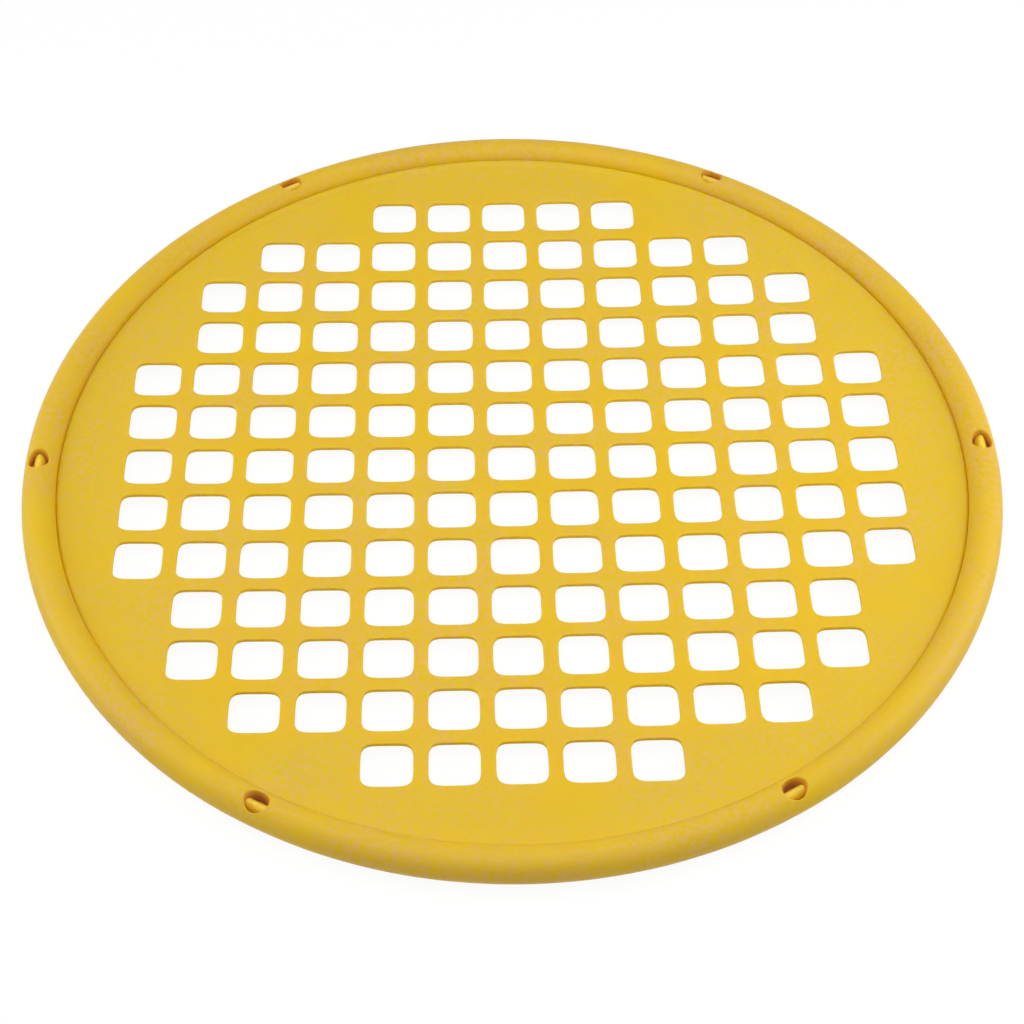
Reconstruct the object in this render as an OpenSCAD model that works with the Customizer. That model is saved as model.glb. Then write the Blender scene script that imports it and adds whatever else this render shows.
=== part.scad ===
// Hand and finger exercise web: an elastic rubber net moulded in one with a round rubber rim,
// and a stiff round hoop inside the rim. The web lies flat on its rim, Z up, and the origin is
// at the middle of the face that it rests on. Lengths are in millimetres.

/* [Rim] */
// Overall diameter across the rubber rim
rim_diameter = 355.6; // [220:0.1:500]
// Thickness of the rim's round section
rim_section = 12.5; // [10.5:0.1:18]
// Depth of the flat on which the rubber rim rests
foot_depth = 0.3; // [0.1:0.05:0.8]

/* [Core hoop] */
// Thickness of the stiff round hoop inside the rim
hoop_section = 5; // [4:0.1:7]
// Gap all round between the hoop and the rubber moulded over it
hoop_fit = 0.05; // [0.02:0.01:0.2]

/* [Hoop windows] */
// Number of round windows in each face of the rim, where the mould's pins held the hoop
window_count = 6; // [3:1:12]
// Diameter of a window at the crown of the rim
window_mouth = 8.4; // [7.8:0.1:9.4]
// Diameter of a window at its floor
window_floor = 7.2; // [7.1:0.1:7.7]
// Height of a window's floor from the middle plane of the rim
window_floor_rise = 0.4; // [0.3:0.1:1.6]

/* [Elastic web] */
// Thickness of the rubber web
web_thickness = 1.8; // [1:0.1:3.5]
// Depth by which the middle of the web hangs under its edge
web_sag = 2.2; // [0:0.1:3.5]

/* [Finger holes] */
// Distance between the centres of neighbouring holes
hole_pitch = 22.15; // [20:0.05:32]
// Width of a hole between the middles of its bowed sides
hole_width = 17.2; // [14:0.1:18.5]
// Radius of a hole's corners
hole_corner_radius = 3.2; // [1:0.1:5]
// Radius of the bow of a hole's sides
hole_side_radius = 80; // [30:1:200]
// Least distance from the centre of a hole to the edge of the web
hole_margin = 21.7; // [15:0.1:50]

/* [Hidden] */

// Facets of the large rings, of the small round sections, and of the arcs of a hole
ring_facets = 240;
section_facets = 64;
arc_facets = 48;
// Overshoot of each cut past the face that it opens
cut_over = 1;
// Lap of a hole's corner arcs over its sides, so that their edges cross instead of only touching
corner_lap = 0.01;
// Angle between the middles of neighbouring sides of a hole
quarter_turn = 90;
full_turn = 360;

rubber_colour = [0.886, 0.737, 0.235];
rim_colour = [0.87, 0.71, 0.2];
hoop_colour = [1, 0.83, 0.2];

// The rim's round section and the hoop share one centre circle, at the height of the middle plane
section_radius = rim_section / 2;
ring_radius = rim_diameter / 2 - section_radius;
middle_z = section_radius - foot_depth;
hoop_radius = hoop_section / 2;

// The edge of the web meets the rim where the round section is as far in as the web's own faces
web_radius = ring_radius - sqrt(pow(section_radius, 2) - pow(web_thickness / 2, 2));
hole_reach = web_radius - hole_margin;
hole_steps = floor(hole_reach / hole_pitch);
sheet_cells = ceil(web_radius / hole_pitch);

// A window's cone, from its floor out to a little past the crown of the rim
window_depth = section_radius - window_floor_rise;
window_taper = (window_mouth - window_floor) / 2 / window_depth;

// A hole's outline: the bowed sides and the corner arcs run into each other at the tangent points
side_centre = hole_side_radius - hole_width / 2;
corner_centre = (sqrt(2 * pow(hole_side_radius - hole_corner_radius, 2) - pow(side_centre, 2))
                 - side_centre) / 2;
tangent_scale = hole_side_radius / (hole_side_radius - hole_corner_radius);
tangent_out = tangent_scale * (corner_centre + side_centre) - side_centre;
tangent_along = tangent_scale * corner_centre;

// Height of the web's middle surface at a distance from its centre
function web_z(r) = middle_z - web_sag * (1 - pow(r / web_radius, 2));

// Index of a point on the square edge of a grid, counted round the four sides in turn
function edge_point(side, step, across) =
    side == 0 ? step
    : side == 1 ? step * across + across - 1
    : side == 2 ? across * across - 1 - step
    : (across - 1 - step) * across;

// True where a hole of this column and row lies far enough from the edge of the web
function is_hole(column, row) = norm([column, row]) * hole_pitch <= hole_reach;

// Solid ring of round section about the centre circle that the rim and the hoop share
module round_ring(radius) {
    translate([0, 0, middle_z])
        rotate_extrude($fn = ring_facets)
            translate([ring_radius, 0])
                circle(r = radius, $fn = section_facets);
}

// One side of a hole's outline, bowed outward, as a sector from the hole's centre to its tangents
module bowed_side() {
    intersection() {
        translate([-side_centre, 0])
            circle(r = hole_side_radius, $fn = ring_facets);
        polygon([[0, 0], [hole_width, -hole_width * tangent_along / tangent_out],
                 [hole_width, hole_width * tangent_along / tangent_out]]);
    }
}

// Outline of a finger hole: four bowed sides and four round corners
module finger_hole_outline() {
    square(2 * tangent_along, center = true);
    for (side = [0:3])
        rotate(side * quarter_turn) {
            bowed_side();
            translate([corner_centre, corner_centre])
                circle(r = hole_corner_radius + corner_lap, $fn = arc_facets);
        }
}

// Prisms that cut the net's holes, each a little taller than the sagging web
module finger_holes() {
    for (row = [-hole_steps:hole_steps], column = [-hole_steps:hole_steps])
        if (is_hole(column, row))
            translate([column * hole_pitch, row * hole_pitch, web_z(0) - web_thickness / 2 - cut_over])
                linear_extrude(web_thickness + web_sag + 2 * cut_over)
                    finger_hole_outline();
}

// Rubber sheet of even thickness that hangs in the rim, before its holes are cut. It follows the
// sag in flat square cells, one to a hole: the four corners of each lie in one plane, because the
// sag grows alike along both rows of the grid.
module sagging_sheet() {
    lines = [for (line = [-sheet_cells:sheet_cells + 1]) (line - 1 / 2) * hole_pitch];
    across = len(lines);
    layer = pow(across, 2);
    points = [for (rise = [-web_thickness / 2, web_thickness / 2], y = lines, x = lines)
        [x, y, web_z(norm([x, y])) + rise]];
    cells = [for (row = [0:across - 2], column = [0:across - 2]) row * across + column];
    underside = [for (c = cells) [c, c + 1, c + across + 1, c + across]];
    top = [for (face = underside) [for (corner = [3:-1:0]) face[corner] + layer]];
    rim_walls = [for (i = [0:across - 2], side = [0:3])
        let (a = edge_point(side, i, across), b = edge_point(side, i + 1, across))
            [a, a + layer, b + layer, b]];
    intersection() {
        polyhedron(points, concat(underside, top, rim_walls));
        cylinder(r = web_radius, h = rim_section, $fn = ring_facets);
    }
}

// Tapered windows round one face of the rim, from the middle plane up
module windows() {
    for (window = [0:window_count - 1])
        rotate(window * full_turn / window_count)
            translate([ring_radius, 0, window_floor_rise])
                cylinder(r1 = window_floor / 2,
                         r2 = window_mouth / 2 + window_taper * cut_over,
                         h = window_depth + cut_over, $fn = section_facets);
}

module web_sheet() {
    color(rubber_colour)
        difference() {
            sagging_sheet();
            finger_holes();
        }
}

module rim_jacket() {
    color(rim_colour)
        difference() {
            round_ring(section_radius);
            round_ring(hoop_radius + hoop_fit);
            // Seat for the edge of the web
            translate([0, 0, middle_z - section_radius])
                cylinder(r = web_radius, h = rim_section, $fn = ring_facets);
            // Flat on which the rim rests
            translate([0, 0, -foot_depth - cut_over])
                cylinder(d = rim_diameter + cut_over, h = foot_depth + cut_over, $fn = ring_facets);
            // Windows onto the hoop in the upper and the lower face
            translate([0, 0, middle_z]) {
                windows();
                mirror([0, 0, 1])
                    windows();
            }
        }
}

module core_hoop() {
    color(hoop_colour)
        round_ring(hoop_radius);
}

web_sheet();
rim_jacket();
core_hoop();
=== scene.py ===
"""Looks of the hand exercise web: an elastic rubber net with square finger holes, moulded in one
with a round rubber rim, and a glossy hoop that shows in the rim's round windows.

Lengths are in millimetres, as in the part's source, and meshes are scaled to metres at the end.
"""

import math
import random

import bmesh
import bpy
from mathutils import Matrix, Vector, geometry, noise


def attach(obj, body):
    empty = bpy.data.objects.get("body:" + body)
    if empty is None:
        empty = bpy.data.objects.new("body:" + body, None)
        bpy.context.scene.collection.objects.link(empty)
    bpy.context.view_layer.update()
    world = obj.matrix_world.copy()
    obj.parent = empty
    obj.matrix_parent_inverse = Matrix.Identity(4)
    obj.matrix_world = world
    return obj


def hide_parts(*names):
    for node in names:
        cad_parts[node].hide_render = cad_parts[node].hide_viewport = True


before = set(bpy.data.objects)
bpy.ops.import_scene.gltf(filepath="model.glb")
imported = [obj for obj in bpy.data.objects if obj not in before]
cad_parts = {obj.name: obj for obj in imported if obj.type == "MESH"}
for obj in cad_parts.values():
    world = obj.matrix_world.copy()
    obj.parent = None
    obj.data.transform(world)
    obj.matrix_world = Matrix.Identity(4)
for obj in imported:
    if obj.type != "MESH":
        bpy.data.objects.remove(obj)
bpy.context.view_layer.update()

MM = 0.001

# Sizes that the part's source names
RIM_DIAMETER = 355.6
RIM_SECTION = 12.5
FOOT_DEPTH = 0.3
HOOP_FIT = 0.05
WINDOW_COUNT = 6
WINDOW_FLOOR_RISE = 0.4
WEB_THICKNESS = 1.8
WEB_SAG = 2.2
HOLE_PITCH = 22.15
HOLE_WIDTH = 17.2
HOLE_MARGIN = 21.7

SECTION_RADIUS = RIM_SECTION / 2
RING_RADIUS = RIM_DIAMETER / 2 - SECTION_RADIUS
MIDDLE_Z = SECTION_RADIUS - FOOT_DEPTH
WEB_HALF = WEB_THICKNESS / 2
WEB_RADIUS = RING_RADIUS - math.sqrt(SECTION_RADIUS ** 2 - WEB_HALF ** 2)
HOLE_REACH = WEB_RADIUS - HOLE_MARGIN

# The camera, solved from the places of the holes and the rim's outline in the photograph
CAMERA_LENS = 75.86
SENSOR_WIDTH = 36.0
CAMERA_AZIMUTH = math.radians(-1.64)
CAMERA_ELEVATION = math.radians(49.43)
CAMERA_ROLL = math.radians(0.19)
CAMERA_DISTANCE = 773.8
LOOK_AT = Vector((-0.81, -25.52, MIDDLE_Z))
CLIP_START = 0.01


# ---------------------------------------------------------------- helpers

def srgb(red, green, blue):
    """Linear colour of one written in steps of 255."""
    steps = [value / 255 for value in (red, green, blue)]
    return tuple(s / 12.92 if s <= 0.04045 else ((s + 0.055) / 1.055) ** 2.4
                 for s in steps) + (1.0,)


def add_object(name, data):
    """A new object in the scene, for a mesh, a lamp or a camera."""
    thing = bpy.data.objects.new(name, data)
    bpy.context.scene.collection.objects.link(thing)
    return thing


def make_mesh(name, points, faces):
    """A mesh in metres from points in millimetres."""
    mesh = bpy.data.meshes.new(name)
    mesh.from_pydata([tuple(c * MM for c in p) for p in points], [], faces)
    return mesh


def make_piece(name, points, faces, node, material):
    """A smooth closed mesh in place of a CAD node; points are in millimetres."""
    mesh = make_mesh(name, points, faces)
    shell = bmesh.new()
    shell.from_mesh(mesh)
    bmesh.ops.recalc_face_normals(shell, faces=shell.faces)
    for face in shell.faces:
        face.smooth = True
    shell.to_mesh(mesh)
    shell.free()
    piece = add_object(name, mesh)
    mesh.materials.append(material)
    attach(piece, "root")
    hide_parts(node)
    return piece


# ---------------------------------------------------------------- materials

# Lemon, amber and paler bloom of each rubber, and the two tones of the hoop
WEB_COLOURS = (srgb(226, 193, 0), srgb(229, 187, 74), srgb(231, 192, 4))
RIM_COLOURS = (srgb(223, 184, 6), srgb(225, 179, 84), srgb(229, 188, 20))
HOOP_COLOURS = (srgb(248, 211, 52), srgb(244, 202, 44))

# Painted shade down the windows, first amber then brown, and the distances in millimetres from
# the middle of the rim's section at which each starts and is full
CAVITY_PAINTED_SHADES = ((srgb(216, 152, 38), 5.9, 5.1), (srgb(184, 116, 62), 4.9, 3.8))

# Light that goes a little way into the rubber, and comes out warmer: red goes deepest
SKIN_DEPTHS = (1.0, 0.5, 0.12)
# For each rubber, the share of the light that goes in, and how deep in millimetres
WEB_SKIN = (0.85, 2.5)
RIM_SKIN = (0.25, 1.5)

# Half the range of the noise over which one colour gives way to the other
SOFT_SPREAD = 0.15
CLOUD_SPREAD = 0.06

# Each noise of the rubber: its grain in millimetres, its detail and how rough that is
CLOUDS = (2.0, 3.0, 0.6)
BLOOM = (38.0, 2.0)
RIPPLE = (9.0, 1.0)
MOULD_GRAIN = (0.35, 2.0)
HOOP_STREAKS = (1.2, 2.0)

# Depths of the bumps in millimetres
RIPPLE_DEPTH = 0.10
MOULD_GRAIN_DEPTH = 0.012
STREAK_DEPTH = 0.03

RUBBER_SPECULAR = 0.35
WEB_ROUGHNESS = 0.55
RIM_ROUGHNESS = 0.5
HOOP_ROUGHNESS = 0.2
HOOP_SPECULAR = 0.5

WHITE = (1, 1, 1, 1)

# A mix node's sockets for its two colours, and for the one that comes out
MIX_FIRST, MIX_SECOND, MIX_RESULT = 6, 7, 2


def new_material(name, roughness, specular):
    """A new material, with its node tree and its shader."""
    material = bpy.data.materials.new(name)
    material.use_nodes = True
    shader = material.node_tree.nodes["Principled BSDF"]
    shader.inputs["Roughness"].default_value = roughness
    shader.inputs["Specular IOR Level"].default_value = specular
    return material, material.node_tree, shader


def add_noise(tree, coordinates, grain, detail, roughness=0.5):
    """Noise with lumps about `grain` millimetres across."""
    node = tree.nodes.new("ShaderNodeTexNoise")
    node.inputs["Scale"].default_value = 1 / (grain * MM)
    node.inputs["Detail"].default_value = detail
    node.inputs["Roughness"].default_value = roughness
    tree.links.new(coordinates.outputs["Object"], node.inputs["Vector"])
    return node


def add_mix(tree, factor, first, second):
    """Colour between `first` and `second`, each a colour or another node's output."""
    mix = tree.nodes.new("ShaderNodeMix")
    mix.data_type = "RGBA"
    tree.links.new(factor, mix.inputs["Factor"])
    for socket, colour in ((MIX_FIRST, first), (MIX_SECOND, second)):
        if isinstance(colour, tuple):
            mix.inputs[socket].default_value = colour
        else:
            tree.links.new(colour, mix.inputs[socket])
    return mix.outputs[MIX_RESULT]


def add_mottle(tree, lumps, first, second, half_range=SOFT_SPREAD):
    """Colour that goes from `first` to `second` as a noise passes its middle value, a half."""
    spread = tree.nodes.new("ShaderNodeMapRange")
    spread.inputs["From Min"].default_value = 0.5 - half_range
    spread.inputs["From Max"].default_value = 0.5 + half_range
    tree.links.new(lumps.outputs["Fac"], spread.inputs["Value"])
    return add_mix(tree, spread.outputs["Result"], first, second)


def add_middle_distance(tree, coordinates):
    """Distance in metres from the circle round which the rim's section runs."""
    def add_math(operation, first, second=None):
        node = tree.nodes.new("ShaderNodeMath")
        node.operation = operation
        for socket, value in zip(node.inputs, (first, second)):
            if isinstance(value, float):
                socket.default_value = value
            elif value is not None:
                tree.links.new(value, socket)
        return node.outputs[0]

    def add_length(first, second):
        squares = [add_math("POWER", side, 2.0) for side in (first, second)]
        return add_math("SQRT", add_math("ADD", *squares))

    apart = tree.nodes.new("ShaderNodeSeparateXYZ")
    tree.links.new(coordinates.outputs["Object"], apart.inputs[0])
    radius = add_length(apart.outputs[0], apart.outputs[1])
    out = add_math("SUBTRACT", radius, RING_RADIUS * MM)
    up = add_math("SUBTRACT", apart.outputs[2], MIDDLE_Z * MM)
    return add_length(out, up)


def add_painted_cavity_shade(tree, coordinates, surface):
    """Painted shade that takes the rim's surface to amber and to brown, down a window."""
    distance = add_middle_distance(tree, coordinates)
    colour = surface
    for shade_colour, start, end in CAVITY_PAINTED_SHADES:
        reach = tree.nodes.new("ShaderNodeMapRange")
        reach.interpolation_type = "SMOOTHSTEP"
        reach.inputs["From Min"].default_value = start * MM
        reach.inputs["From Max"].default_value = end * MM
        tree.links.new(distance, reach.inputs["Value"])
        colour = add_mix(tree, reach.outputs["Result"], colour, shade_colour)
    return colour


def add_bump(tree, shader, heights):
    """Chain of bumps; each height is (noise node, depth in millimetres)."""
    previous = None
    for height, depth in heights:
        bump = tree.nodes.new("ShaderNodeBump")
        bump.inputs["Distance"].default_value = depth * MM
        tree.links.new(height.outputs["Fac"], bump.inputs["Height"])
        if previous:
            tree.links.new(previous.outputs["Normal"], bump.inputs["Normal"])
        previous = bump
    tree.links.new(previous.outputs["Normal"], shader.inputs["Normal"])


def rubber_material(name, colours, roughness, skin):
    """Soft yellow rubber: lemon and amber clouds with a paler bloom, and a fine moulded grain."""
    lemon, amber, pale = colours
    skin_share, skin_depth = skin
    material, tree, shader = new_material(name, roughness, RUBBER_SPECULAR)
    shader.inputs["Subsurface Weight"].default_value = skin_share
    shader.inputs["Subsurface Radius"].default_value = SKIN_DEPTHS
    shader.inputs["Subsurface Scale"].default_value = skin_depth * MM
    place = tree.nodes.new("ShaderNodeTexCoord")
    clouds, bloom, grain, ripple = (add_noise(tree, place, *kind)
                                    for kind in (CLOUDS, BLOOM, MOULD_GRAIN, RIPPLE))
    mottled = add_mottle(tree, clouds, lemon, amber, CLOUD_SPREAD)
    bloomed = add_mottle(tree, bloom, mottled, pale)
    tree.links.new(bloomed, shader.inputs["Base Color"])
    add_bump(tree, shader, [(ripple, RIPPLE_DEPTH), (grain, MOULD_GRAIN_DEPTH)])
    return material


def hoop_material():
    """Bright glossy plastic of the hoop inside the rim."""
    material, tree, shader = new_material("hoop_plastic", HOOP_ROUGHNESS, HOOP_SPECULAR)
    place = tree.nodes.new("ShaderNodeTexCoord")
    streaks = add_noise(tree, place, *HOOP_STREAKS)
    tree.links.new(add_mottle(tree, streaks, *HOOP_COLOURS), shader.inputs["Base Color"])
    add_bump(tree, shader, [(streaks, STREAK_DEPTH)])
    return material


# ---------------------------------------------------------------- the web

WEB_SEED = 11
HOLE_POINTS = 44
# Exponent of a hole's outline: 2 gives an ellipse, and more than that a squarer shape
HOLE_SQUARENESS = 4.8
# Height of the web's upper face over its middle surface
WEB_TOP = 0.58
# Width of the band beside a hole's edge over which the shading turns
EDGE_BAND = 0.35
# Height of the same band over the lower edge of a wall
LOWER_BAND = 0.12
STRAND_DROOP = 0.25
# Most that a hole is off its place and off its half width, and how far the whole grid is off
HOLE_SHIFT = 0.10
HOLE_SPREAD = 0.09
GRID_SHIFT = -0.2
# The web's edge falls into a groove beside the rim, which fades towards the back and the front,
# and at the back it rises over a wider band
GROOVE_WIDTH = 1.2
GROOVE_DEPTH = 0.95
EDGE_RISE = 0.95
EDGE_WIDTH = 3.4
EDGE_RINGS = 4
GROOVE_UNDER = 0.3
GROOVE_STEPS = 6
GROOVE_FLOOR = 0.2
WEB_TUCK = 0.6
WEB_EDGE_POINTS = 720
# Distance within which the triangles of the sheet take two points as one
JOIN_DISTANCE = 1e-5
INNER_POINT_STEP = HOLE_PITCH / 4
INNER_POINT_CLEARANCE = 1.1


def hole_places():
    """Column and row of each hole that lies far enough from the edge of the web."""
    steps = int(HOLE_REACH // HOLE_PITCH)
    return [(column, row) for row in range(-steps, steps + 1)
            for column in range(-steps, steps + 1)
            if math.hypot(column, row) * HOLE_PITCH <= HOLE_REACH]


def make_holes():
    """Each hole's centre and half widths, a little uneven, as moulded rubber is."""
    rng = random.Random(WEB_SEED)
    return [(column * HOLE_PITCH + GRID_SHIFT + rng.uniform(-HOLE_SHIFT, HOLE_SHIFT),
             row * HOLE_PITCH + rng.uniform(-HOLE_SHIFT, HOLE_SHIFT),
             HOLE_WIDTH / 2 + rng.uniform(-HOLE_SPREAD, HOLE_SPREAD),
             HOLE_WIDTH / 2 + rng.uniform(-HOLE_SPREAD, HOLE_SPREAD))
            for column, row in hole_places()]


def hole_outline(hole):
    """Points of a rounded square with bowed sides, each with its outward direction."""
    centre_x, centre_y, half_x, half_y = hole
    outline = []
    for step in range(HOLE_POINTS):
        angle = math.tau * (step + 0.5) / HOLE_POINTS
        across = math.copysign(abs(math.cos(angle)) ** (2 / HOLE_SQUARENESS), math.cos(angle))
        along = math.copysign(abs(math.sin(angle)) ** (2 / HOLE_SQUARENESS), math.sin(angle))
        normal = Vector((math.copysign(abs(across) ** (HOLE_SQUARENESS - 1) / half_x, across),
                         math.copysign(abs(along) ** (HOLE_SQUARENESS - 1) / half_y, along)))
        normal.normalize()
        outline.append((Vector((centre_x + half_x * across, centre_y + half_y * along)), normal))
    return outline


def web_height(x, y):
    """Height of the web's middle surface: the sag of the sheet, the droop of each strand and the
    rise at the back edge."""
    radius = math.hypot(x, y)
    sag = WEB_SAG * (1 - (radius / WEB_RADIUS) ** 2)
    beat_x = math.cos(math.pi * x / HOLE_PITCH) ** 2
    beat_y = math.cos(math.pi * y / HOLE_PITCH) ** 2
    netted = min(1, max(0, (HOLE_REACH + HOLE_PITCH / 2 - radius) / HOLE_PITCH))
    droop = STRAND_DROOP * netted * (beat_x * (1 - beat_y) + beat_y * (1 - beat_x))
    share = min(1, max(0, (radius - WEB_RADIUS + EDGE_WIDTH) / (EDGE_WIDTH - GROOVE_WIDTH / 2)))
    backward = max(0, y / radius) if radius else 0
    rise = EDGE_RISE * backward ** 2 * share ** 2 * (3 - 2 * share)
    return MIDDLE_Z - sag - droop + rise


def wall_profile():
    """Distance from a hole's edge into the rubber and height, over the wall and beside it."""
    return [(EDGE_BAND, WEB_TOP), (0, WEB_TOP), (0, LOWER_BAND - WEB_HALF), (0, -WEB_HALF),
            (EDGE_BAND, -WEB_HALF)]


def in_hole(x, y, holes, margin):
    """True where a place lies in a hole or within `margin` of its edge."""
    for centre_x, centre_y, half_x, half_y in holes:
        across = abs(x - centre_x) / (half_x + margin)
        along = abs(y - centre_y) / (half_y + margin)
        if across < 1 and along < 1 and across ** HOLE_SQUARENESS + along ** HOLE_SQUARENESS < 1:
            return True
    return False


def build_web():
    """The net: a thin sheet with a wall round each hole and a groove where it meets the rim."""
    holes = make_holes()
    profile = wall_profile()
    points, faces = [], []

    def add_point(x, y, rise):
        points.append((x, y, web_height(x, y) + rise))
        return len(points) - 1

    # Walls of the holes; the first and last loops bound the upper and lower faces
    upper_loops, lower_loops = [], []
    for hole in holes:
        outline = hole_outline(hole)
        loops = [[add_point(*(place + inset * normal), rise) for place, normal in outline]
                 for inset, rise in profile]
        for upper, lower in zip(loops, loops[1:]):
            for k in range(HOLE_POINTS):
                n = (k + 1) % HOLE_POINTS
                faces.append((upper[k], upper[n], lower[n], lower[k]))
        upper_loops.append(loops[0])
        lower_loops.append(loops[-1])

    # Rings at the edge of the web: the groove, and the edge tucked into the rim
    turns = [math.pi / 2 * k / GROOVE_STEPS for k in range(GROOVE_STEPS + 1)]
    steps_out = [(WEB_RADIUS - EDGE_WIDTH + (EDGE_WIDTH - GROOVE_WIDTH) * k / EDGE_RINGS, 0)
                 for k in range(EDGE_RINGS)]
    steps_out += [(WEB_RADIUS - GROOVE_WIDTH + (GROOVE_WIDTH + GROOVE_FLOOR) * math.sin(turn),
                   1 - math.cos(turn)) for turn in turns] + [(WEB_RADIUS + WEB_TUCK, 1)]
    edge_profile = [(radius, share, True) for radius, share in steps_out]
    edge_profile += [(radius, share, False) for radius, share in reversed(steps_out)]
    rings = []
    for radius, share, is_upper in edge_profile:
        ring = []
        for k in range(WEB_EDGE_POINTS):
            angle = math.tau * k / WEB_EDGE_POINTS
            depth = GROOVE_DEPTH * math.cos(angle) ** 2
            rise = WEB_TOP - depth * share if is_upper else GROOVE_UNDER * share - WEB_HALF
            ring.append(add_point(radius * math.cos(angle), radius * math.sin(angle), rise))
        rings.append(ring)
    for upper, lower in zip(rings, rings[1:]):
        for k in range(WEB_EDGE_POINTS):
            n = (k + 1) % WEB_EDGE_POINTS
            faces.append((upper[k], lower[k], lower[n], upper[n]))
    upper_loops.append(rings[0])
    lower_loops.append(rings[-1])

    # Places inside the sheet, so that it takes the sag
    inner = []
    steps = int(WEB_RADIUS // INNER_POINT_STEP)
    for column in range(-steps, steps + 1):
        for row in range(-steps, steps + 1):
            x, y = column * INNER_POINT_STEP, row * INNER_POINT_STEP
            if (math.hypot(x, y) < WEB_RADIUS - EDGE_WIDTH - INNER_POINT_CLEARANCE
                    and not in_hole(x, y, holes, EDGE_BAND + INNER_POINT_CLEARANCE)):
                inner.append((x, y))

    for loops, rise in ((upper_loops, WEB_TOP), (lower_loops, -WEB_HALF)):
        members = [index for loop in loops for index in loop]
        members += [add_point(x, y, rise) for x, y in inner]
        local = {index: k for k, index in enumerate(members)}
        edges = [(local[a], local[b]) for loop in loops for a, b in zip(loop, loop[1:] + loop[:1])]
        flat = [Vector(points[index][:2]) for index in members]
        _, _, triangles, sources, _, _ = geometry.delaunay_2d_cdt(
            flat, edges, [], 0, JOIN_DISTANCE, True)
        for triangle in triangles:
            corners = [members[sources[k][0]] for k in triangle]
            x = sum(points[c][0] for c in corners) / 3
            y = sum(points[c][1] for c in corners) / 3
            if (math.hypot(x, y) < WEB_RADIUS - EDGE_WIDTH
                    and not in_hole(x, y, holes, EDGE_BAND)):
                faces.append(tuple(corners))
    material = rubber_material("web_rubber", WEB_COLOURS, WEB_ROUGHNESS, WEB_SKIN)
    make_piece("elastic_net", points, faces, "web_sheet", material)


# ---------------------------------------------------------------- the hoop

# The hoop's section is taller than wide, and lies a little out, as the windows show it
HOOP_HALF_WIDTH = 2.25
HOOP_HALF_HEIGHT = 3.9
HOOP_OUT = 0.7
HOOP_STEPS = 720
HOOP_SECTION_STEPS = 40


def ring_mesh(gap, steps, section_steps):
    """The hoop's ring, or one that lies a gap outside it."""
    points = []
    for i in range(steps):
        angle = math.tau * i / steps
        for j in range(section_steps):
            turn = math.tau * j / section_steps
            radius = RING_RADIUS + HOOP_OUT + (HOOP_HALF_WIDTH + gap) * math.cos(turn)
            points.append((radius * math.cos(angle), radius * math.sin(angle),
                           MIDDLE_Z + (HOOP_HALF_HEIGHT + gap) * math.sin(turn)))
    faces = [(i * section_steps + j,
              (i + 1) % steps * section_steps + j,
              (i + 1) % steps * section_steps + (j + 1) % section_steps,
              i * section_steps + (j + 1) % section_steps)
             for i in range(steps) for j in range(section_steps)]
    return points, faces


def build_hoop():
    """The stiff hoop, finer than its CAD solid, because its gloss shows in the windows."""
    points, faces = ring_mesh(0, HOOP_STEPS, HOOP_SECTION_STEPS)
    make_piece("core_ring", points, faces, "core_hoop", hoop_material())


# ---------------------------------------------------------------- the rim

RIM_STEPS = 720
SECTION_STEPS = 48
# Half of the patch round a window, in steps along the ring and round the section
WINDOW_CELLS = 5
WINDOW_ROWS = 8
# Size and depth of the rim's dents, and the least dent, which keeps it inside its CAD solid
DENT_DEPTHS = ((30.0, 0.05), (7.0, 0.035))
LEAST_DENT = 0.06
# Parting line: extra rows of points in degrees, and the even and uneven shares of its rise
PARTING_RISE = 0.16
PARTING_HALF_WIDTH = 0.35
PARTING_ROWS = (-6, -4, -2, 2, 4, 6)
PARTING_LUMP = 5.0
PARTING_SHARES = (0.75, 0.5)
# Notch in the rim beside the web, and where it is round the section
NOTCH_DEPTH = 0.3
NOTCH_TURN = math.radians(176)
NOTCH_HALF_WIDTH = 1.2
# Windows: their circle and turn round the rim, their widths, and the exponent of their flare
WINDOW_CIRCLE = RING_RADIUS + 0.65
WINDOW_TURN = math.radians(0.2)
WINDOW_FOOT = 6.4
WINDOW_MOUTH = 9.2
WINDOW_FLARE = 2.0
LIP_ROUNDING = 0.35
LIP_STEPS = 4
LIP_RINGS = 4
# Exponent that crowds the rings towards the lip, and rounds of finding the lip's height
LIP_CROWDING = 0.8
LIP_PASSES = 3
WALL_RINGS = 7
FLOOR_ROUNDING = 0.3
FLOOR_STEPS = 2
BORE_STEPS = RIM_STEPS // 2
BORE_SECTION_STEPS = 32


def rim_surface(angle, turn):
    """Point of the rim at an angle round the ring and a turn round its section.

    The turn starts at the outside and goes up."""
    x, y = math.cos(angle), math.sin(angle)
    radius = RING_RADIUS + SECTION_RADIUS * math.cos(turn)
    place = Vector((x * radius, y * radius, SECTION_RADIUS * math.sin(turn)))
    dent = sum(depth * (1 + noise.noise(place / lump)) for lump, depth in DENT_DEPTHS)
    off_line = math.remainder(turn, math.tau) * SECTION_RADIUS / PARTING_HALF_WIDTH
    even, uneven = PARTING_SHARES
    dent = max(LEAST_DENT, dent - PARTING_RISE * math.exp(-off_line ** 2)
               * (even + uneven * noise.noise(place / PARTING_LUMP)))
    off_notch = (turn % math.tau - NOTCH_TURN) * SECTION_RADIUS / NOTCH_HALF_WIDTH
    section = SECTION_RADIUS - dent - NOTCH_DEPTH * math.exp(-off_notch ** 2)
    radius = RING_RADIUS + section * math.cos(turn)
    return (x * radius, y * radius, max(0, MIDDLE_Z + section * math.sin(turn)))


def rim_rows():
    """Turns round the section: even steps, with more beside the parting line."""
    even = [math.tau * k / SECTION_STEPS for k in range(SECTION_STEPS)]
    fine = [math.radians(degrees) % math.tau for degrees in PARTING_ROWS]
    return sorted(even + fine)


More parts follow.
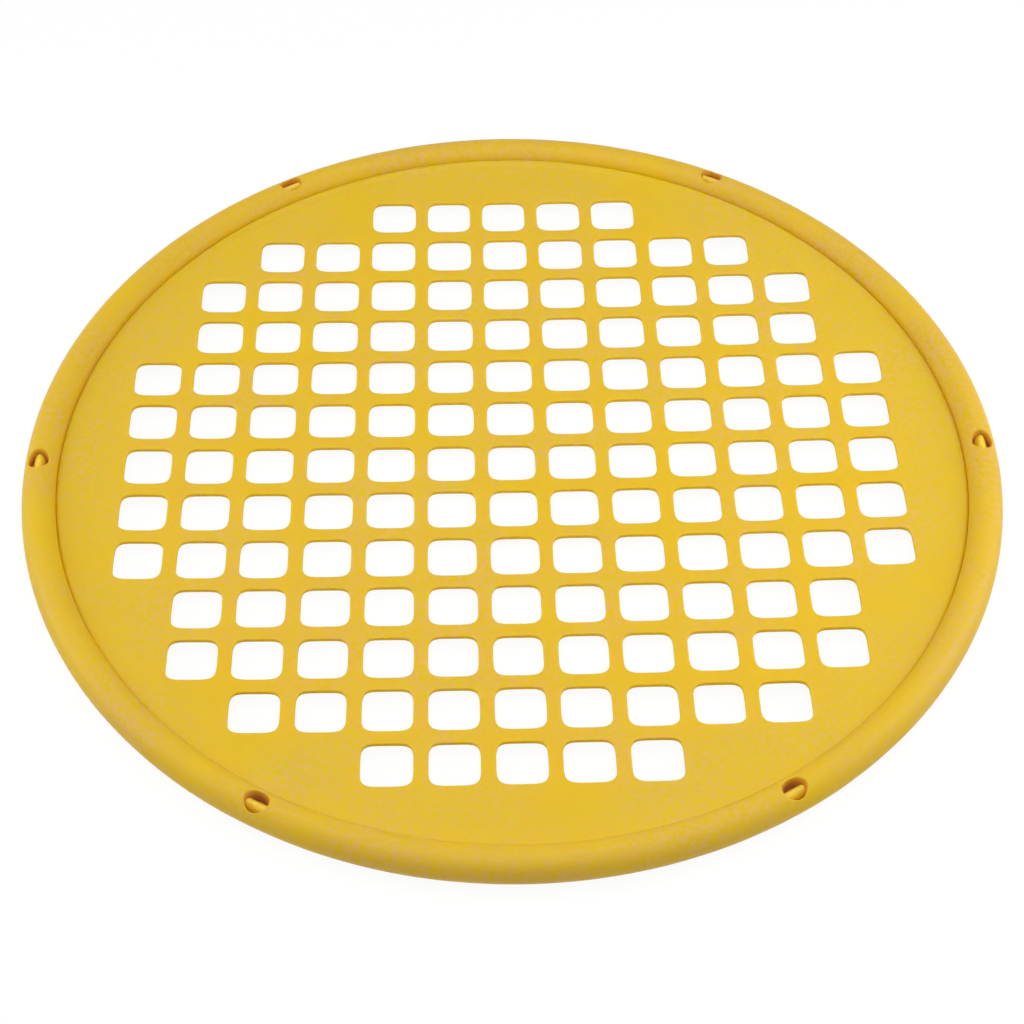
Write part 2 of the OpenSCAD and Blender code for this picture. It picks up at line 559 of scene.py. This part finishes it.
def window_radius(rise):
    """Radius of a window, which flares towards its mouth, at a distance from the middle plane."""
    depth = SECTION_RADIUS - WINDOW_FLOOR_RISE
    share = max(0, (rise - WINDOW_FLOOR_RISE) / depth)
    return (WINDOW_FOOT + (WINDOW_MOUTH - WINDOW_FOOT) * share ** WINDOW_FLARE) / 2


def curve_between(start, corner, end, steps):
    """Inner points of the round curve that leaves `start` and reaches `end` towards `corner`."""
    inner = []
    for k in range(1, steps):
        t = k / steps
        inner.append(tuple(a * (1 - t) ** 2 + 2 * b * t * (1 - t) + c * t * t
                           for a, b, c in zip(start, corner, end)))
    return inner


def window_spoke(centre_angle, side, bearing, reach):
    """Points from a place on the patch's boundary over the lip and down to a window's flat floor.

    The bearing is round the window's own axis, and the reach is the place's distance from it."""
    def to_world(out, z):
        x = WINDOW_CIRCLE + out * math.cos(bearing)
        y = out * math.sin(bearing)
        turned = Matrix.Rotation(centre_angle, 2) @ Vector((x, y))
        return (turned.x, turned.y, z)

    def on_rim(out):
        x, y, _ = to_world(out, 0)
        offset = math.hypot(x, y) - RING_RADIUS
        turn = side * math.acos(max(-1, min(1, offset / SECTION_RADIUS)))
        return rim_surface(math.atan2(y, x), turn)

    def wall(rise):
        return to_world(window_radius(rise), MIDDLE_Z + side * rise)

    lip_rise = SECTION_RADIUS
    for _ in range(LIP_PASSES):
        lip_rise = abs(on_rim(window_radius(lip_rise))[2] - MIDDLE_Z)
    lip = window_radius(lip_rise)
    rings = []
    for k in range(1, LIP_RINGS + 1):
        share = (k / LIP_RINGS) ** LIP_CROWDING
        rings.append(on_rim(reach + (lip + LIP_ROUNDING - reach) * share))
    wall_top = wall(lip_rise - LIP_ROUNDING)
    rings += curve_between(rings[-1], wall(lip_rise), wall_top, LIP_STEPS)
    rings.append(wall_top)
    wall_foot = WINDOW_FLOOR_RISE + FLOOR_ROUNDING
    for k in range(1, WALL_RINGS + 1):
        rings.append(wall(lip_rise - LIP_ROUNDING
                          + (wall_foot - lip_rise + LIP_ROUNDING) * k / WALL_RINGS))
    floor_z = MIDDLE_Z + side * WINDOW_FLOOR_RISE
    floor_edge = to_world(WINDOW_FOOT / 2 - FLOOR_ROUNDING, floor_z)
    rings += curve_between(rings[-1], wall(WINDOW_FLOOR_RISE), floor_edge, FLOOR_STEPS)
    rings.append(floor_edge)
    return rings


def rim_material():
    """Rubber of the rim, with painted shade that turns it brown down the windows."""
    material = rubber_material("rim_rubber", RIM_COLOURS, RIM_ROUGHNESS, RIM_SKIN)
    tree = material.node_tree
    shader = tree.nodes["Principled BSDF"]
    place = tree.nodes.new("ShaderNodeTexCoord")
    surface = shader.inputs["Base Color"].links[0].from_socket
    # Painted shade over the rubber's colour, deeper down the windows
    tree.links.new(add_painted_cavity_shade(tree, place, surface), shader.inputs["Base Color"])
    return material


def build_rim():
    """The bead: a round ring with two faces of windows, a parting line and a flat foot."""
    rows = rim_rows()
    points = [rim_surface(math.tau * i / RIM_STEPS, turn)
              for i in range(RIM_STEPS) for turn in rows]
    faces = []

    def grid(i, j):
        return (i % RIM_STEPS) * len(rows) + j % len(rows)

    crowns = []
    for side in (1, -1):
        crown = math.pi / 2 if side > 0 else 3 * math.pi / 2
        spread = WINDOW_ROWS * math.tau / SECTION_STEPS
        first, last = (min(range(len(rows)), key=lambda j: abs(rows[j] - crown - sign * spread))
                       for sign in (-1, 1))
        crowns.append((side, first, last))
    centres = [RIM_STEPS * k // WINDOW_COUNT for k in range(WINDOW_COUNT)]
    cut = {(i % RIM_STEPS, j) for centre in centres for _, first, last in crowns
           for i in range(centre - WINDOW_CELLS, centre + WINDOW_CELLS)
           for j in range(first, last)}
    for i in range(RIM_STEPS):
        for j in range(len(rows)):
            if (i, j) not in cut:
                faces.append((grid(i, j), grid(i + 1, j), grid(i + 1, j + 1), grid(i, j + 1)))

    for centre in centres:
        centre_angle = math.tau * centre / RIM_STEPS + WINDOW_TURN
        left, right = centre - WINDOW_CELLS, centre + WINDOW_CELLS
        for side, first, last in crowns:
            border = ([grid(i, first) for i in range(left, right)]
                      + [grid(right, j) for j in range(first, last)]
                      + [grid(i, last) for i in range(right, left, -1)]
                      + [grid(left, j) for j in range(last, first, -1)])
            spokes = []
            for index in border:
                local = (Matrix.Rotation(-centre_angle, 2) @ Vector(points[index][:2])
                         - Vector((WINDOW_CIRCLE, 0)))
                bearing = math.atan2(local.y, local.x)
                spoke = window_spoke(centre_angle, side, bearing, local.length)
                start = len(points)
                points.extend(spoke)
                spokes.append([index] + list(range(start, len(points))))
            for a, b in zip(spokes, spokes[1:] + spokes[:1]):
                for k in range(len(a) - 1):
                    faces.append((a[k], a[k + 1], b[k + 1], b[k]))
            faces.append(tuple(spoke[-1] for spoke in spokes))
    rim = make_piece("rim_bead", points, faces, "rim_jacket", rim_material())
    bore_rim(rim)


def bore_rim(rim):
    """Cuts the hoop's bore out of the rim, so that the hoop shows in the windows."""
    points, faces = ring_mesh(HOOP_FIT, BORE_STEPS, BORE_SECTION_STEPS)
    bore = add_object("bore", make_mesh("bore", points, faces))
    cut = rim.modifiers.new("bore", "BOOLEAN")
    cut.operation = "DIFFERENCE"
    cut.solver = "EXACT"
    cut.object = bore
    bpy.context.view_layer.update()
    cut_mesh = bpy.data.meshes.new_from_object(rim.evaluated_get(
        bpy.context.evaluated_depsgraph_get()))
    rim.modifiers.clear()
    rim.data = cut_mesh
    bpy.data.objects.remove(bore)


# ---------------------------------------------------------------- camera, light and floor

# Half the floor's width in metres
FLOOR_REACH = 6.0
FLOOR_COLOUR = (0.86, 0.86, 0.86, 1)
FLOOR_ROUGHNESS = 0.9
# Share of the floor that is plain white to the camera, which leaves a part of the shadow
FLOOR_WHITE = 0.9
FLOOR_GLOW = 1.03
# Strength of the world's light on the part
WORLD_FILL = 0.15

# Each lamp's name, place and size in metres, and power in watts
LAMPS = (
    ("ceiling", (0.0, 0.35, 1.5), 1.6, 4.1),
    ("overhead", (0.0, 0.0, 0.6), 0.5, 0.85),
    ("front", (0.0, -0.6, 0.9), 0.8, 2.6),
    ("left_side", (-0.55, 0.0, 0.3), 0.4, 0.6),
    ("right_side", (0.55, 0.0, 0.3), 0.4, 1.6),
    ("left_far", (-1.3, 0.2, 0.7), 1.0, 5.2),
)


def place_camera():
    """The camera at the photograph's place."""
    data = bpy.data.cameras.new("camera")
    data.lens = CAMERA_LENS
    data.sensor_width = SENSOR_WIDTH
    data.clip_start = CLIP_START
    camera = add_object("camera", data)
    outward = Vector((math.sin(CAMERA_AZIMUTH) * math.cos(CAMERA_ELEVATION),
                      -math.cos(CAMERA_AZIMUTH) * math.cos(CAMERA_ELEVATION),
                      math.sin(CAMERA_ELEVATION)))
    turn = (Matrix.Rotation(CAMERA_AZIMUTH, 4, "Z")
            @ Matrix.Rotation(math.pi / 2 - CAMERA_ELEVATION, 4, "X")
            @ Matrix.Rotation(CAMERA_ROLL, 4, "Z"))
    place = (LOOK_AT + CAMERA_DISTANCE * outward) * MM
    camera.matrix_world = Matrix.Translation(place) @ turn
    bpy.context.scene.camera = camera


def add_lamp(name, place, size, power):
    """A square soft lamp, in metres and watts, that faces the part."""
    data = bpy.data.lights.new(name, "AREA")
    data.size = size
    data.energy = power
    lamp = add_object(name, data)
    lamp.location = place
    lamp.rotation_euler = (-Vector(place)).to_track_quat("-Z", "Y").to_euler()
    lamp.visible_camera = False


def camera_light_path(tree):
    """1 for what the camera sees, directly, in gloss or through glass, and 0 for other light."""
    path = tree.nodes.new("ShaderNodeLightPath")
    total = None
    for output in ("Is Camera Ray", "Is Glossy Ray", "Is Transmission Ray"):
        if total is None:
            total = path.outputs[output]
            continue
        add = tree.nodes.new("ShaderNodeMath")
        add.operation = "MAXIMUM"
        tree.links.new(total, add.inputs[0])
        tree.links.new(path.outputs[output], add.inputs[1])
        total = add.outputs[0]
    return total


def light_world():
    """An even light on the part, and plain white behind it."""
    world = bpy.data.worlds.new("studio")
    world.use_nodes = True
    bpy.context.scene.world = world
    tree = world.node_tree
    tree.nodes.clear()
    output = tree.nodes.new("ShaderNodeOutputWorld")
    mix = tree.nodes.new("ShaderNodeMixShader")
    fill = tree.nodes.new("ShaderNodeBackground")
    fill.inputs["Strength"].default_value = WORLD_FILL
    fill.inputs["Color"].default_value = WHITE
    white = tree.nodes.new("ShaderNodeBackground")
    white.inputs["Color"].default_value = WHITE
    tree.links.new(camera_light_path(tree), mix.inputs[0])
    tree.links.new(fill.outputs[0], mix.inputs[1])
    tree.links.new(white.outputs[0], mix.inputs[2])
    tree.links.new(mix.outputs[0], output.inputs["Surface"])


def lay_floor():
    """Pale floor that stays white to the camera and keeps a part of the shadow."""
    mesh = bpy.data.meshes.new("floor")
    corners = [(x * FLOOR_REACH, y * FLOOR_REACH, 0)
               for x, y in ((-1, -1), (1, -1), (1, 1), (-1, 1))]
    mesh.from_pydata(corners, [], [(0, 1, 2, 3)])
    floor = add_object("floor", mesh)
    material, tree, shader = new_material("floor_paper", FLOOR_ROUGHNESS, 0.0)
    shader.inputs["Base Color"].default_value = FLOOR_COLOUR
    glow = tree.nodes.new("ShaderNodeEmission")
    glow.inputs["Strength"].default_value = FLOOR_GLOW
    share = tree.nodes.new("ShaderNodeMath")
    share.operation = "MULTIPLY"
    share.inputs[1].default_value = FLOOR_WHITE
    mix = tree.nodes.new("ShaderNodeMixShader")
    tree.links.new(camera_light_path(tree), share.inputs[0])
    tree.links.new(share.outputs[0], mix.inputs[0])
    tree.links.new(shader.outputs[0], mix.inputs[1])
    tree.links.new(glow.outputs[0], mix.inputs[2])
    tree.links.new(mix.outputs[0], tree.nodes["Material Output"].inputs["Surface"])
    mesh.materials.append(material)


place_camera()
build_web()
build_rim()
build_hoop()
light_world()
lay_floor()
for lamp_facts in LAMPS:
    add_lamp(*lamp_facts)
bpy.context.scene.view_settings.view_transform = "Standard"
